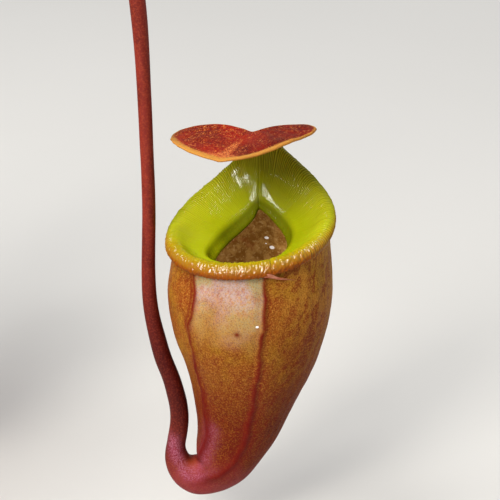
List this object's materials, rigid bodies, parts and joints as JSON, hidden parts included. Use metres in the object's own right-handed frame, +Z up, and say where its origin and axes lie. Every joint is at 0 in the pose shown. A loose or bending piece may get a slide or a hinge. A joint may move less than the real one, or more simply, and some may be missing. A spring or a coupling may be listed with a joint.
{
  "type": "potted pitcher plant",
  "caption": "Tropical pitcher plant in a plain clay pot, with arching leaves and an open pitcher hanging from its tendril beside the pot.",
  "frame": {"origin": "middle of the pot's foot, on the surface it stands on", "axes": "+Z up; +X to the right, towards the open pitcher; +Y away from the viewer of the picture"},
  "size_m": [0.285, 0.2169, 0.1935],
  "materials": {
    "clay": "unglazed, matt",
    "bark_mix": "damp bark chips, perlite and moss",
    "stem": "satin plant tissue",
    "leaf": "glossy plant tissue",
    "young_leaf": "glossy plant tissue",
    "tendril": "satin plant tissue",
    "closed_pitcher": "satin plant tissue",
    "pitcher_tendril": "satin plant tissue",
    "pitcher_wall": "satin plant tissue, finely speckled",
    "pitcher_lip": "wet gloss, ribbed",
    "pitcher_lid": "satin plant tissue, speckled",
    "lid_neck": "satin plant tissue",
    "pitcher_fluid": "still liquid"
  },
  "bodies": {
    "root": {"pot": "clay", "growing_medium": "bark_mix", "stem": "stem", "leaf_blade_1": "leaf", "leaf_blade_2": "leaf", "leaf_blade_3": "leaf", "leaf_blade_4": "leaf", "leaf_blade_5": "leaf", "leaf_blade_6": "leaf", "leaf_blade_7": "leaf", "leaf_blade_8": "leaf", "tendril_1": "tendril", "tendril_2": "tendril", "tendril_3": "tendril", "tendril_4": "tendril", "tendril_6": "tendril", "tendril_7": "tendril", "tendril_8": "tendril", "closed_pitcher_1": "closed_pitcher", "closed_pitcher_3": "closed_pitcher", "closed_pitcher_4": "closed_pitcher", "growing_tip": "young_leaf", "hanging_tendril": "pitcher_tendril", "pitcher_cup": "pitcher_wall", "pitcher_lip": "pitcher_lip", "pitcher_lid": "pitcher_lid", "lid_neck": "lid_neck", "pitcher_fluid": "pitcher_fluid"}
  },
  "joints": []
}
